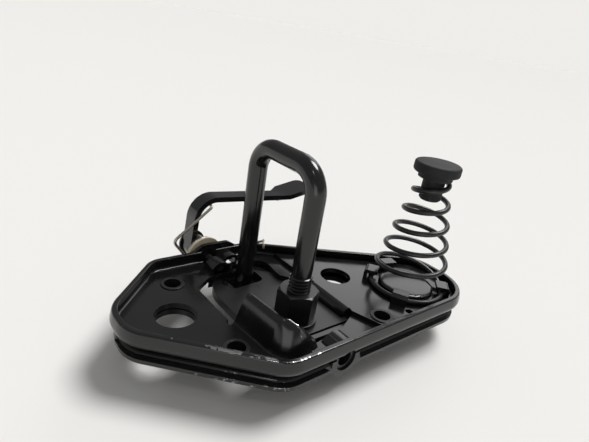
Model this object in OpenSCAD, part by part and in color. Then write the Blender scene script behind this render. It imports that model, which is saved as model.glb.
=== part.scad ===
// Hood latch: two stamped plates that carry a striker loop, a pop-up spring and a sprung safety lever.
// Places are measured from the loop's centre line, at the level of the lower plate's edge.
// The whole part is then moved so that the origin is the centre of the front mounting hole.
// X runs through the loop's two legs, Y runs along the safety lever's arm, Z is up.
// All sizes are in millimetres.

/* [Plate outline] */
// Right side of the rim, from the loop's centre line
right_x = 41.5; // [40.5:0.5:45]
// Left side of the rim, from the loop's centre line
left_x = -31; // [-34:0.5:-30.5]
// Front end of the rim, from the loop's centre line
front_y = -57; // [-62:0.5:-56]
// Back end of the rim, from the loop's centre line
back_y = 76; // [75:0.5:82]
// Middle of the blunt front end
front_mid = -0.75; // [-2:0.25:1]
// Width of the blunt front end
front_w = 13.5; // [11.5:0.5:16]
// Where the left side turns in towards the back
shoulder_y = 9.5; // [8:0.5:12]
// Left corner of the back end
back_left_x = 10.5; // [8:0.5:12]

/* [Sheet] */
// Sheet thickness of the upper plate
top_t = 2; // [1.6:0.1:2.4]
// Sheet thickness of the lower plate
bottom_t = 2; // [1.6:0.1:2.4]
// Depth of the lower plate's pressed shape
bottom_depth = 3.5; // [3:0.1:4]
// Gap between the two plates
plate_gap = 0.5; // [0.3:0.1:0.8]
// Thickness of the carrier plate in the lower plate's pocket
carrier_t = 3; // [2.6:0.1:3.4]
// Height of the upper plate's rim above its floor
rim_h = 4.5; // [4:0.1:6]
// How far the rim's foot stands outside its lip
rim_out = 0.5; // [0.3:0.1:0.8]
// How far the lower plate's edge stays inside the rim's lip
bottom_inset = 0.7; // [0.2:0.1:1.5]
// Height of the raised platform above the floor
platform_h = 1.5; // [1:0.1:2]

/* [Striker loop] */
// Distance between the loop's legs
leg_pitch = 32.5; // [30:0.5:34]
// Rod diameter
rod_d = 7.1; // [6.5:0.1:7.5]
// Thread diameter on the adjusting leg
thread_d = 8; // [7.8:0.1:8.4]
// Height of the loop's top above the plate's floor
loop_h = 56; // [48:0.5:64]
// Bend radius of the rod, at its centre line
loop_bend_r = 9; // [7:0.5:11]
// Length of thread above the lock nut
thread_above = 7; // [3:0.5:10]
// Length of the threaded leg below the lower nut
thread_below = 3.5; // [2:0.5:5]
// Length of the plain leg below the lower plate
plain_below = 4; // [2:0.5:6]
// Width of the nuts across their flats
nut_af = 13; // [12:0.5:14]
// Height of the lock nut
lock_nut_h = 10.5; // [8:0.5:12]
// Height of the lower nut
lower_nut_h = 6.5; // [5:0.5:8]
// Outer diameter of the washers on the thread
washer_d = 16; // [15:0.5:17]
// Thickness of the washers on the thread
washer_t = 1.6; // [1:0.1:2]

/* [Pop-up spring] */
// Spring centre, from the right side
spring_from_right = 19.3; // [19:0.1:19.6]
// Spring centre, from the back end
spring_from_back = 22; // [21.6:0.1:22.4]
// Wire diameter
spring_wire = 2; // [1.6:0.1:2.2]
// Outer diameter of the foot ring
spring_foot_d = 31.2; // [29:0.1:31.6]
// Outer diameter of the top ring
spring_top_d = 13.4; // [12.8:0.1:15]
// Free height
spring_h = 46.5; // [42:0.5:50]
// Number of rising turns
spring_turns = 5; // [4:0.5:6]
// Cap diameter
cap_d = 17.6; // [16:0.2:20]
// Cap thickness
cap_t = 4; // [3:0.2:5]
// Collar diameter under the cap
collar_d = 13; // [12.4:0.2:15]
// Collar thickness
collar_t = 2; // [1.5:0.1:3]
// Stem diameter
stem_d = 8.4; // [7:0.1:8.8]
// Stem length
stem_l = 8.5; // [6:0.5:12]

/* [Safety lever] */
// Pin axis, along
pin_y = -9.5; // [-10:0.1:-9]
// Height of the pin axis above the plate's floor
pin_rise = 1.6; // [1.4:0.1:2]
// Pin diameter
pin_d = 5; // [4.4:0.1:5.6]
// Strip thickness
strip_t = 2.2; // [1.8:0.1:2.4]
// Strip width
strip_w = 6.8; // [6:0.1:8]
// Height of the arm's underside above the plate's floor
arm_h = 22.5; // [20:0.5:26]
// Where the arm bends up into the paddle
arm_end_y = 27; // [22:0.5:34]
// Length of the finger paddle
paddle_l = 18; // [14:0.5:24]
// Width of the finger paddle
paddle_w = 12; // [9:0.5:14]
// Rise of the finger paddle, in degrees
paddle_angle = 15; // [5:1:25]
// Inner radius of the bend between the upright and the arm
arm_bend_r = 7.5; // [6:0.1:8.5]
// Lean of the lever at rest, in degrees
lever_lean = 4.5; // [2:0.5:6]
// Outer diameter of the bush under the torsion spring
bush_d = 11; // [10.4:0.1:11.4]
// Torsion spring wire diameter
torsion_wire = 1.2; // [0.8:0.1:1.3]

/* [Fixings] */
// Mounting hole in the front half
front_hole_d = 14; // [12:0.5:14]
// Mounting hole in the platform
back_hole_d = 12.5; // [10:0.5:13]
// Head diameter of the tubular rivets
rivet_head_d = 8.6; // [8:0.1:9]
// Shank diameter of the tubular rivets
rivet_shank_d = 7.4; // [6.8:0.1:7.6]
// Bore of the tubular rivets
rivet_bore_d = 6; // [5:0.1:6.2]
// Bore of the channel between the plates at the right edge
channel_d = 8.4; // [7.6:0.1:8.8]
// Bore of the guide sleeve
sleeve_bore_d = 5.6; // [4:0.1:6]

/* [Hidden] */
$fn = 64;

black_paint = [0.05, 0.05, 0.05];
black_steel = [0.09, 0.09, 0.09];
cap_grey = [0.16, 0.16, 0.16];
nylon_beige = [0.73, 0.69, 0.6];
wire_silver = [0.62, 0.6, 0.55];

// Clearances
running_fit = 0.05;
side_gap = 0.3;
eps = 0.02;
// Well past the part on every side
reach = 60;

// Levels
pocket_z = bottom_depth;
floor_under = pocket_z + carrier_t;
floor_z = floor_under + top_t;
lip_z = floor_z + rim_h;
bottom_top_z = floor_under - plate_gap;
bottom_under = bottom_top_z - bottom_t;
edge_drop = 1.2;
bottom_edge_z = bottom_top_z - bottom_depth - edge_drop;
platform_z = floor_z + platform_h;
deck_z = floor_under + platform_h;

// Outlines
arc_steps = 9;
plate_corners = [
    [right_x, front_y + right_x - front_mid - front_w / 2],
    [right_x, back_y],
    [back_left_x, back_y],
    [left_x, shoulder_y],
    [left_x, front_y + front_mid - front_w / 2 - left_x],
    [front_mid - front_w / 2, front_y],
    [front_mid + front_w / 2, front_y]
];
plate_radii = [12, 17, 14, 12, 9, 13, 13];

// Bend under the rim, where it stops, and the rounding of its lip
sheet_bend_r = top_t + 1;
sheet_bend_end = 98;
lip_round = 0.5;

// Raised lip at the front of the opening: [x, y, facing angle, height, reach] along its foot
hump_start = [11.5, -22];
hump_turn = [28.2, -12.6];
hump_r = 8;
hump_h = 10.5;
hump_reach = 4.5;
hump_s = 0.7;
hump_overlap = 1.5;
hump_fall = 9.2;
hump_end = [34.4, -5];
hump_end_h = 2.2;
hump_line = [
    [hump_start[0], hump_start[1], -93, hump_h, hump_reach],
    [
        (hump_start[0] + hump_turn[0]) / 2, (hump_start[1] + hump_turn[1] - hump_r) / 2, -93,
        hump_h, hump_reach
    ],
    for (k = [0:8])
        let (a = -92 + 92 * k / 8)
        [
            hump_turn[0] + hump_r * cos(a), hump_turn[1] + hump_r * sin(a), a,
            hump_h - (hump_h - hump_fall) * pow(k / 8, 2), hump_reach + 1.4 * sin(180 * k / 8)
        ],
    [
        (hump_turn[0] + hump_r + hump_end[0]) / 2 + 0.3, (hump_turn[1] + hump_end[1]) / 2, 6,
        hump_fall * 0.66, hump_reach * 0.8
    ],
    [hump_end[0], hump_end[1], 6, hump_end_h, hump_reach * 0.45]
];
relief_w = 2.4;
relief_l = 4.2;

// Central opening of the upper plate
opening_right_x = hump_turn[0] + hump_r - hump_overlap;
opening_front_y = hump_start[1] - 1.2;
opening_turn_y = hump_turn[1] - hump_r + hump_overlap;
opening_back_y = 19.5;
opening_left_x = -17;
opening_corners = [
    [-12, opening_front_y],
    [hump_start[0] - 0.5, opening_front_y],
    [hump_start[0] - 0.5, hump_start[1] + hump_overlap],
    [hump_turn[0] - 4, opening_turn_y],
    [opening_right_x, opening_turn_y],
    [opening_right_x, hump_turn[1] + 1],
    [hump_end[0] - hump_overlap, hump_end[1]],
    [31, 9],
    [26, opening_back_y],
    [2, opening_back_y],
    [-8, 11],
    [-22, 13],
    [-22, -4],
    [opening_left_x, -4],
    [opening_left_x, -16]
];
opening_radii = [4, 0.5, 0.5, 1, hump_r - hump_overlap, 1, 1, 5, 3, 3, 4, 5, 2, 0.3, 2.5];

// Platform
platform_front_y = opening_back_y - 1;
platform_turn_x = 24.6;
platform_slope = 0.34;
platform_inset = sheet_bend_r - rim_out + 0.5;
flange_r = 3;
flange_from_x = 4;
flange_to_x = 24;

// Lower plate and carrier
pocket_gap = 0.6;
carrier_right_x = leg_pitch / 2 + washer_d / 2 + 1.75;
ledge = 1.2;
bottom_opening = [
    [-20.5, -22.5], [carrier_right_x - ledge, -22.5], [carrier_right_x - ledge, 18],
    [-6, 18], [-6, -6], [-20.5, -6]
];
bottom_opening_radii = [6, 4, 4, 4, 3, 3];
carrier_corners = [[-22.5, -17.5], [carrier_right_x, -17.5], [carrier_right_x, 21.5], [-7, 21.5], [-22.5, 0]];
carrier_radii = [16, 8, 3, 3, 4];
carrier_window = [[-20.8, -5.5], [-14, -12], [-9, -9], [-10, 5.5], [-20.8, 5.5]];
carrier_window_radii = [2.5, 2.5, 2.5, 2.5, 2.5];

// Places of the fixings, from the sides that they belong to
front_hole = [front_mid + 0.35, front_y + 19.7];
back_hole = [4, 31];
rivet_left_at = [left_x + 12.5, front_y + 27];
rivet_front_at = [right_x - 18.4, front_y + 28.6];
rivet_right_at = [right_x - 8, 26.9];
vent_hole = [right_x - 5.3, 39.4];
vent_hole_d = 3;
rivet_head_t = 0.4;
rivet_cup = 4;

// Channel at the right edge
channel_y = 3;
channel_z = bottom_top_z - bottom_t / 2;
channel_start_x = 33;
channel_bottom_x = 29.5;
sleeve_d = channel_d - 2 * running_fit;
sleeve_set = 1.5;
sleeve_l = right_x - sleeve_set - channel_start_x;
sleeve_slit = 1.6;

// Loop levels
leg_x = leg_pitch / 2;
loop_top_z = floor_z + loop_h - rod_d / 2;
lock_washer_z = floor_under;
lock_nut_z = lock_washer_z + washer_t;
thread_top_z = lock_nut_z + lock_nut_h + thread_above;
lower_washer_z = pocket_z - washer_t;
lower_nut_z = lower_washer_z - lower_nut_h;
thread_end_z = lower_nut_z - thread_below;
thread_chamfer = 1;
carrier_hole_d = thread_d + 0.4;

// Pop-up spring and cap
spring_x = right_x - spring_from_right;
spring_y = back_y - spring_from_back;
spring_z = platform_z;
wire_r = spring_wire / 2;
foot_r = spring_foot_d / 2 - wire_r;
crown_r = spring_top_d / 2 - wire_r;
wire_sides = 8;
turn_steps = 20;
foot_turns = 0.728;
foot_start_angle = 150;
kick_h = 4.8;
kick_turns = 0.18;
cap_seat_z = spring_z + spring_h + side_gap;
boss_d = 18;
boss_h = 3.5;
boss_round = 1.6;
tab_angles = [-60, -145, 165, 42];
tab_w = 6;
tab_t = 1.5;
tab_gap = 0.35;
tab_cover = 2.6;

// Safety lever levels along its pin
pin_z = floor_z + pin_rise;
pin_r = pin_d / 2;
ear_t = 2.5;
ear_x = left_x - rim_out;
ear_r = pin_r + 1.8;
ear_rise = 2.6;
ear_side = 7;
ear_ends = [pin_y - 8.5, pin_y + 15];
tail_r = 1.5;
strap_t = 1.2;
strap_r = pin_z + tail_r + running_fit + strap_t - floor_z;
strap_x = [-24.5, -18.7];
strap_2_x = [-29.5, -22.8];
strap_2_y = pin_y + 6.9;
bush_flange_t = 1.2;
bush_flange_d = bush_d + 3.8;
coil_pitch = torsion_wire + 0.06;
leg_turn = 52.4;
leg_l = 12.8;
coil_turns = 1 + leg_turn / 360;
hook_from_shoulder = 7.5;
coil_r = bush_d / 2 + 0.2 + torsion_wire / 2;
coil_from_x = ear_x - side_gap - bush_flange_t - torsion_wire / 2 - 0.1;
coil_to_x = coil_from_x - coil_turns * coil_pitch;
eye_r = pin_r + running_fit;
eye_out_r = eye_r + strip_t;
lever_to_x = coil_to_x - torsion_wire / 2 - side_gap;
lever_from_x = lever_to_x - strip_w;
arm_z = floor_z + arm_h;
arm_bend_y = strip_t + arm_bend_r - eye_out_r;
arm_bend_z = arm_z - pin_z - arm_bend_r;
eye_slit = 0.6;
lever_washer_t = 1.1;
lever_washer_x = lever_from_x - side_gap - lever_washer_t;
pin_head_t = 2.5;
pin_head_d = 9;
lever_washer_r = pin_r + 3.2;
pin_tail_x = strap_x[1] - 0.6;

// Points of a corner's arc: grow moves every edge outwards by the same amount
function unit(v) = v / norm(v);
function turn(u, w) = u[0] * w[1] - u[1] * w[0];
function corner_arc(before, at, after, r, grow) =
    let (
        u = unit(at - before),
        w = unit(after - at),
        nu = [u[1], -u[0]],
        nw = [w[1], -w[0]],
        side = turn(u, w) > 0 ? 1 : -1,
        centre = at - side * r * (nu + nw) / (1 + nu * nw),
        start = atan2(side * nu[1], side * nu[0]),
        sweep = atan2(turn(nu, nw), nu * nw)
    )
    [for (k = [0:arc_steps])
        let (a = start + sweep * k / arc_steps)
        centre + (r + side * grow) * [cos(a), sin(a)]];
function rounded(corners, radii, grow = 0) =
    let (n = len(corners))
    [for (i = [0:n - 1])
        each corner_arc(corners[(i + n - 1) % n], corners[i], corners[(i + 1) % n], radii[i], grow)];
function plate_outline(grow) = rounded(plate_corners, plate_radii, grow);
function at_height(points, z) = [for (p = points) [p[0], p[1], z]];

// Closed skin through rings of equal length, with flat ends
module skin(rings) {
    n = len(rings[0]);
    count = len(rings);
    points = [for (ring = rings) each ring];
    sides = [for (i = [0:count - 2], j = [0:n - 1])
        let (
            a = i * n + j,
            b = i * n + (j + 1) % n,
            c = b + n,
            d = a + n
        )
        each [[a, d, c], [a, c, b]]];
    first = [for (j = [0:n - 1]) j];
    last = [for (j = [n - 1:-1:0]) (count - 1) * n + j];
    polyhedron(points, concat([first], sides, [last]), convexity = 8);
}

// Round wire along a path, with its cross-section carried along without twist
function wire_dir(path, i) =
    let (last = len(path) - 1)
    unit(i == 0 ? path[1] - path[0] :
         i == last ? path[last] - path[last - 1] :
         unit(path[i] - path[i - 1]) + unit(path[i + 1] - path[i]));
function flat_to(v, dir) = unit(v - (v * dir) * dir);
function wire_rings(path, r, sides, start) =
    [for (i = 0, u = flat_to(start, wire_dir(path, 0));
          i < len(path);
          i = i + 1, u = i < len(path) ? flat_to(u, wire_dir(path, i)) : u)
        let (w = cross(wire_dir(path, i), u))
        [for (k = [0:sides - 1])
            path[i] + r * (cos(360 * k / sides) * u + sin(360 * k / sides) * w)]];
module wire(path, r, sides, start) {
    skin(wire_rings(path, r, sides, start));
}

// Moves the part so that the centre of the front mounting hole is the origin
module place() {
    translate([-front_hole[0], -front_hole[1], -channel_z]) children();
}

module along_x(x, length) {
    translate([x, 0, 0]) rotate([90, 0, 90]) linear_extrude(length) children();
}

module rod_x(x, length, y, z, r) {
    translate([x, y, z]) rotate([0, 90, 0]) cylinder(h = length, r = r);
}

// Hexagon with two corners along X
module hex_nut(z, height) {
    across = nut_af / cos(30);
    chamfer = 0.6;
    translate([leg_x, 0, z])
        difference() {
            intersection() {
                cylinder(h = height, d = across, $fn = 6);
                rotate_extrude()
                    polygon([
                        [0, 0], [nut_af / 2, 0], [across / 2, chamfer],
                        [across / 2, height - chamfer], [nut_af / 2, height], [0, height]
                    ]);
            }
            translate([0, 0, -1]) cylinder(h = height + 2, d = thread_d + 2 * running_fit);
        }
}

module flat_washer(z) {
    translate([leg_x, 0, z])
        difference() {
            cylinder(h = washer_t, d = washer_d);
            translate([0, 0, -1]) cylinder(h = washer_t + 2, d = carrier_hole_d);
        }
}

// Shell of the upper plate: flat floor, rounded bend, leaning wall and rounded lip
module top_shell() {
    steps = 6;
    bend_at = rim_out - sheet_bend_r;
    bend_z = floor_under + sheet_bend_r;
    inner_r = sheet_bend_r - top_t;
    outside = [for (k = [0:steps])
        let (a = sheet_bend_end * k / steps)
        at_height(plate_outline(bend_at + sheet_bend_r * sin(a)), bend_z - sheet_bend_r * cos(a))];
    lip = [for (q = [[0, 0.3], [0.1, 0.75], [0.3, 1], [0.75, 1], [0.93, 0.85], [1, 0.5]])
        at_height(plate_outline(-q[0] * top_t), lip_z - lip_round * 2 * (1 - q[1]))];
    inside = [for (k = [steps:-1:0])
        let (a = sheet_bend_end * k / steps)
        at_height(plate_outline(bend_at + inner_r * sin(a)), bend_z - inner_r * cos(a))];
    skin(concat(outside, lip, inside));
}

// Lip raised along the front of the opening, turning round its right corner and falling along that side
function hump_profile(height, reach) =
    let (
        steps = 8,
        mid = [for (k = [0:steps])
            let (s = k / steps)
            [reach * s, height * (hump_s * s * s * (3 - 2 * s) + (1 - hump_s) * s)]],
        under = [for (k = [0:steps])
            let (
                dir = unit(mid[min(k + 1, steps)] - mid[max(k - 1, 0)]),
                off = top_t / 2 * [dir[1], -dir[0]]
            )
            mid[k] + off],
        end = unit(mid[steps] - mid[steps - 1]),
        tip = [for (a = [45, 90, 135])
            mid[steps] + top_t / 2 * (cos(a) * [end[1], -end[0]] + sin(a) * end)],
        over = [for (k = [steps:-1:0])
            let (
                dir = unit(mid[min(k + 1, steps)] - mid[max(k - 1, 0)]),
                off = top_t / 2 * [dir[1], -dir[0]]
            )
            mid[k] - off]
    )
    concat(under, tip, over);
module hump() {
    mid_z = floor_z - top_t / 2;
    skin([for (q = hump_line)
        [for (p = hump_profile(q[3], q[4]))
            [q[0] - p[0] * cos(q[2]), q[1] - p[0] * sin(q[2]), mid_z + p[1]]]]);
}

module platform_shape(inset) {
    front = platform_front_y + inset;
    difference() {
        polygon(plate_outline(-platform_inset - inset));
        polygon([
            [left_x - reach, front_y - reach], [right_x + reach, front_y - reach],
            [right_x + reach, front + platform_slope * (right_x + reach - platform_turn_x)],
            [platform_turn_x, front], [left_x - reach, front]
        ]);
    }
}

// Edge of the platform rolled down into the opening
module rolled_flange() {
    along_x(flange_from_x, flange_to_x - flange_from_x)
        translate([opening_back_y, platform_z - flange_r])
            intersection() {
                difference() {
                    circle(flange_r);
                    circle(flange_r - top_t);
                }
                translate([-flange_r - 1, 0]) square([flange_r + 1.2, flange_r + 1]);
            }
}

module boss_profile(r, h, round_r) {
    union() {
        square([r - round_r, h]);
        square([r, h - round_r]);
        translate([r - round_r, h - round_r]) circle(round_r);
    }
}

module spring_tab(angle) {
    leg_r = spring_foot_d / 2 + tab_gap;
    top = spring_wire + tab_gap;
    translate([spring_x, spring_y, platform_z]) rotate([0, 0, angle])
        translate([0, tab_w / 2, 0]) rotate([90, 0, 0])
            linear_extrude(tab_w)
                difference() {
                    union() {
                        translate([leg_r, -top_t / 2]) square([tab_t, top + top_t / 2]);
                        translate([foot_r - tab_cover, top]) square([leg_r - foot_r + tab_cover, tab_t]);
                        translate([leg_r, top]) circle(tab_t);
                    }
                    translate([0, 0]) square([leg_r, top]);
                }
}

module upper_half(z) {
    translate([left_x - reach, front_y - reach, z])
        cube([right_x - left_x + 2 * reach, back_y - front_y + 2 * reach, reach]);
}

module lower_half(z) {
    translate([left_x - reach, front_y - reach, z - reach])
        cube([right_x - left_x + 2 * reach, back_y - front_y + 2 * reach, reach]);
}

module drill(at, d, z, length) {
    translate([at[0], at[1], z - 1]) cylinder(h = length + 2, d = d);
}

module strap(ends, y, r) {
    intersection() {
        rod_x(ends[0], ends[1] - ends[0], y, floor_z, r);
        upper_half(floor_z - top_t / 2);
    }
}

module strap_hollow(ends, y, r) {
    rod_x(ends[0] - eps, ends[1] - ends[0] + 2 * eps, y, floor_z, r);
    translate([ends[0] - eps, y - r, floor_under - 1])
        cube([ends[1] - ends[0] + 2 * eps, 2 * r, top_t + 1]);
}

// Rise of the rim's lip along the ear
module ear() {
    steps = 8;
    low = lip_z - lip_round;
    rise = ear_rise + lip_round;
    up = [for (k = [0:steps])
        let (s = k / steps)
        [ear_ends[0] + ear_side * s, low + rise * s * s * (3 - 2 * s)]];
    down = [for (k = [0:steps])
        let (s = k / steps)
        [ear_ends[1] - ear_side * (1 - s), low + rise * (1 - s * s * (3 - 2 * s))]];
    along_x(left_x + rim_out / 4, top_t - rim_out)
        polygon(concat(up, down, [[ear_ends[1], lip_z - 1.2], [ear_ends[0], lip_z - 1.2]]));
}

module top_plate() {
    color(black_paint) place()
    difference() {
        union() {
            difference() {
                union() {
                    top_shell();
                    translate([0, 0, floor_under + eps])
                        linear_extrude(platform_z - floor_under - eps) platform_shape(0);
                }
                translate([0, 0, floor_under - 1]) linear_extrude(platform_h + 1) platform_shape(top_t);
                translate([0, 0, floor_under - 1])
                    linear_extrude(platform_h + top_t + 2) polygon(rounded(opening_corners, opening_radii));
                // Relief cut beside the raised lip's square end
                translate([hump_start[0] + 0.5 - relief_w, hump_start[1] + 2 - relief_l, floor_under - 1])
                    cube([relief_w, relief_l, top_t + 2]);
            }
            hump();
            rolled_flange();
            // Round boss inside the spring's foot
            translate([spring_x, spring_y, deck_z])
                rotate_extrude() boss_profile(boss_d / 2, boss_h + top_t, boss_round);
            for (a = tab_angles) spring_tab(a);
            // Two half-round straps pressed up beside the opening, the first over the pin's tail
            strap(strap_x, pin_y, strap_r);
            strap(strap_2_x, strap_2_y, strap_r);
            // Raised ear of the rim round the pin
            intersection() {
                rod_x(ear_x, ear_t, pin_y, pin_z, ear_r);
                upper_half(floor_under + eps);
            }
            ear();
            // Arch over the channel at the right edge
            intersection() {
                rod_x(channel_start_x, right_x - top_t / 2 - channel_start_x, channel_y, channel_z,
                    channel_d / 2 + top_t);
                upper_half(floor_under + eps);
            }
        }
        rod_x(ear_x - 1, ear_t + 2, pin_y, pin_z, tail_r + running_fit);
        strap_hollow(strap_x, pin_y, strap_r - strap_t);
        strap_hollow(strap_2_x, strap_2_y, strap_r - strap_t);
        rod_x(channel_start_x - 1, right_x - channel_start_x + 2, channel_y, channel_z, channel_d / 2);
        drill(front_hole, front_hole_d, floor_under, top_t);
        drill(back_hole, back_hole_d, floor_under, top_t + platform_h);
        for (at = [rivet_left_at, rivet_front_at, rivet_right_at])
            drill(at, rivet_shank_d + 2 * running_fit, floor_under, top_t + platform_h);
        drill(vent_hole, vent_hole_d, floor_under, top_t + platform_h);
    }
}

// Shell of the lower plate: flat floor with a rounded, turned-down edge
module bottom_shell() {
    skin([
        at_height(plate_outline(-bottom_inset - bottom_t - 1.2), bottom_under),
        at_height(plate_outline(-bottom_inset - bottom_t), bottom_under - 0.6),
        at_height(plate_outline(-bottom_inset - bottom_t + 0.3), bottom_edge_z),
        at_height(plate_outline(-bottom_inset - 0.3), bottom_edge_z),
        at_height(plate_outline(-bottom_inset), bottom_edge_z + 0.4),
        at_height(plate_outline(-bottom_inset), bottom_top_z - 2.6),
        at_height(plate_outline(-bottom_inset - 0.5), bottom_top_z - 1.3),
        at_height(plate_outline(-bottom_inset - 1.4), bottom_top_z - 0.4),
        at_height(plate_outline(-bottom_inset - 2.7), bottom_top_z)
    ]);
}

module pocket(grow, z, height) {
    translate([0, 0, z]) linear_extrude(height) polygon(rounded(carrier_corners, carrier_radii, grow));
}

module bottom_plate() {
    color(black_paint) place()
    difference() {
        union() {
            bottom_shell();
            // Pocket pressed down for the carrier
            pocket(pocket_gap + bottom_t, pocket_z - bottom_t, bottom_top_z - pocket_z + bottom_t - eps);
            // Half-round channel pressed down at the right edge
            intersection() {
                rod_x(channel_bottom_x, right_x - bottom_inset - channel_bottom_x, channel_y, channel_z,
                    channel_d / 2 + bottom_t);
                lower_half(bottom_top_z - eps);
            }
        }
        pocket(pocket_gap, pocket_z, reach);
        translate([0, 0, pocket_z - bottom_t - 1])
            linear_extrude(bottom_top_z - pocket_z + bottom_t + 2)
                polygon(rounded(bottom_opening, bottom_opening_radii));
        rod_x(channel_bottom_x - 1, right_x - channel_bottom_x + 2, channel_y, channel_z, channel_d / 2);
        drill([-leg_x, 0], rod_d + 2 * running_fit, pocket_z - bottom_t, bottom_t);
        drill(front_hole, front_hole_d, bottom_under, bottom_t);
        drill(back_hole, back_hole_d, bottom_under, bottom_t);
        for (at = [rivet_left_at, rivet_front_at, rivet_right_at])
            drill(at, rivet_shank_d + 2 * running_fit, bottom_under, bottom_t);
    }
}

module carrier_plate() {
    color(black_steel) place()
    translate([0, 0, pocket_z])
        difference() {
            linear_extrude(carrier_t)
                difference() {
                    polygon(rounded(carrier_corners, carrier_radii));
                    polygon(rounded(carrier_window, carrier_window_radii));
                }
            drill([leg_x, 0], carrier_hole_d, 0, carrier_t);
        }
}

module loop_bend(x, turn_to) {
    translate([x, 0, loop_top_z - loop_bend_r]) rotate([90, 0, 0])
        rotate([0, 0, turn_to]) rotate_extrude(angle = 90) translate([loop_bend_r, 0]) circle(d = rod_d);
}

module striker_loop() {
    bend_z = loop_top_z - loop_bend_r;
    color(black_paint) place()
    union() {
        // Plain leg
        translate([-leg_x, 0, -plain_below]) cylinder(h = bend_z + plain_below, d = rod_d);
        // Threaded leg
        translate([leg_x, 0, thread_end_z + thread_chamfer])
            cylinder(h = thread_top_z - thread_end_z - 2 * thread_chamfer, d = thread_d);
        translate([leg_x, 0, thread_end_z])
            cylinder(h = thread_chamfer, d1 = thread_d - 2 * thread_chamfer, d2 = thread_d);
        translate([leg_x, 0, thread_top_z - thread_chamfer])
            cylinder(h = thread_chamfer, d1 = thread_d, d2 = rod_d);
        translate([leg_x, 0, thread_top_z]) cylinder(h = bend_z - thread_top_z, d = rod_d);
        // Crown
        translate([-leg_x + loop_bend_r, 0, loop_top_z]) rotate([0, 90, 0])
            cylinder(h = leg_pitch - 2 * loop_bend_r, d = rod_d);
        loop_bend(-leg_x + loop_bend_r, 90);
        loop_bend(leg_x - loop_bend_r, 0);
    }
}

module lock_nut() {
    color(black_steel) place() hex_nut(lock_nut_z, lock_nut_h);
}

module lock_washer() {
    color(black_steel) place() flat_washer(lock_washer_z);
}

module lower_nut() {
    color(black_steel) place() hex_nut(lower_nut_z, lower_nut_h);
}

module lower_washer() {
    color(black_steel) place() flat_washer(lower_washer_z);
}

// Conical spring: a flat foot under the tabs, a quick climb over them, then turns that draw in
function spring_point(turns) =
    let (
        risen = max(0, turns - foot_turns),
        rise = risen / spring_turns,
        r = foot_r + (crown_r - foot_r) * rise,
        kick = kick_h * (1 - exp(-risen / kick_turns)),
        a = foot_start_angle + 360 * turns
    )
    [
        spring_x + r * cos(a),
        spring_y + r * sin(a),
        spring_z + wire_r + kick + (spring_h - spring_wire - kick_h) * rise
    ];
module pop_spring() {
    turns = foot_turns + spring_turns;
    steps = round(turns * turn_steps);
    path = [for (i = [0:steps]) spring_point(turns * i / steps)];
    color(black_steel) place() wire(path, wire_r, wire_sides, [0, 0, 1]);
}

module spring_cap() {
    edge = 1;
    color(cap_grey) place()
    translate([spring_x, spring_y, cap_seat_z])
        rotate_extrude()
            union() {
                translate([0, -stem_l]) square([stem_d / 2 - edge / 2, stem_l + 1]);
                translate([0, edge / 2 - stem_l]) square([stem_d / 2, stem_l + 1 - edge / 2]);
                square([collar_d / 2, collar_t]);
                translate([0, collar_t]) square([cap_d / 2 - edge, cap_t]);
                translate([0, collar_t + edge]) square([cap_d / 2, cap_t - 2 * edge]);
                translate([cap_d / 2 - edge, collar_t + edge]) circle(edge);
                translate([cap_d / 2 - edge, collar_t + cap_t - edge]) circle(edge);
            }
}

// Side view of the lever: rolled eye, upright, bend and arm, with the pin at the origin
module lever_profile() {
    difference() {
        circle(eye_out_r);
        circle(eye_r);
        translate([-eye_out_r + strip_t / 2, -eye_slit]) square([strip_t * 2, eye_slit]);
    }
    translate([-eye_out_r, 0]) square([strip_t, arm_bend_z]);
    translate([arm_bend_y, arm_bend_z])
        intersection() {
            difference() {
                circle(arm_bend_r + strip_t);
                circle(arm_bend_r);
            }
            translate([-arm_bend_r - strip_t - 1, 0]) square(arm_bend_r + strip_t + 1);
        }
    translate([arm_bend_y, arm_bend_z + arm_bend_r]) square([arm_end_y - pin_y - arm_bend_y, strip_t]);
}

module safety_lever() {
    mid_x = (lever_from_x + lever_to_x) / 2;
    color(black_paint) place()
    union() {
        difference() {
            along_x(lever_from_x, strip_w) translate([pin_y, pin_z]) rotate(-lever_lean) lever_profile();
            rod_x(lever_from_x - 1, strip_w + 2, pin_y, pin_z, eye_r);
        }
        // Finger paddle, wider than the strip and bent up
        translate([mid_x, pin_y, pin_z]) rotate([-lever_lean, 0, 0])
            translate([0, arm_end_y - pin_y, arm_z - pin_z]) rotate([paddle_angle, 0, 0])
            linear_extrude(strip_t)
                union() {
                    translate([-strip_w / 2, -strip_t / 2]) square([strip_w, strip_t]);
                    polygon([
                        [-strip_w / 2, 0], [strip_w / 2, 0],
                        [paddle_w / 2, paddle_l / 4], [paddle_w / 2, paddle_l - paddle_w / 4],
                        [paddle_w / 4, paddle_l], [-paddle_w / 4, paddle_l],
                        [-paddle_w / 2, paddle_l - paddle_w / 4], [-paddle_w / 2, paddle_l / 4]
                    ]);
                    for (side = [-1, 1])
                        translate([side * paddle_w / 4, paddle_l - paddle_w / 4]) circle(paddle_w / 4);
                }
    }
}

module lever_pin() {
    head_x = lever_washer_x - pin_head_t;
    dome = 1;
    color(black_steel) place()
    translate([head_x, pin_y, pin_z]) rotate([0, 90, 0])
        rotate_extrude()
            union() {
                translate([0, dome]) square([pin_head_d / 2, pin_head_t - dome]);
                polygon([[0, 0], [pin_head_d / 2 - dome, 0], [pin_head_d / 2, dome], [0, dome]]);
                square([pin_r, ear_x - running_fit - head_x]);
                square([tail_r, pin_tail_x - head_x]);
            }
}

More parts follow.
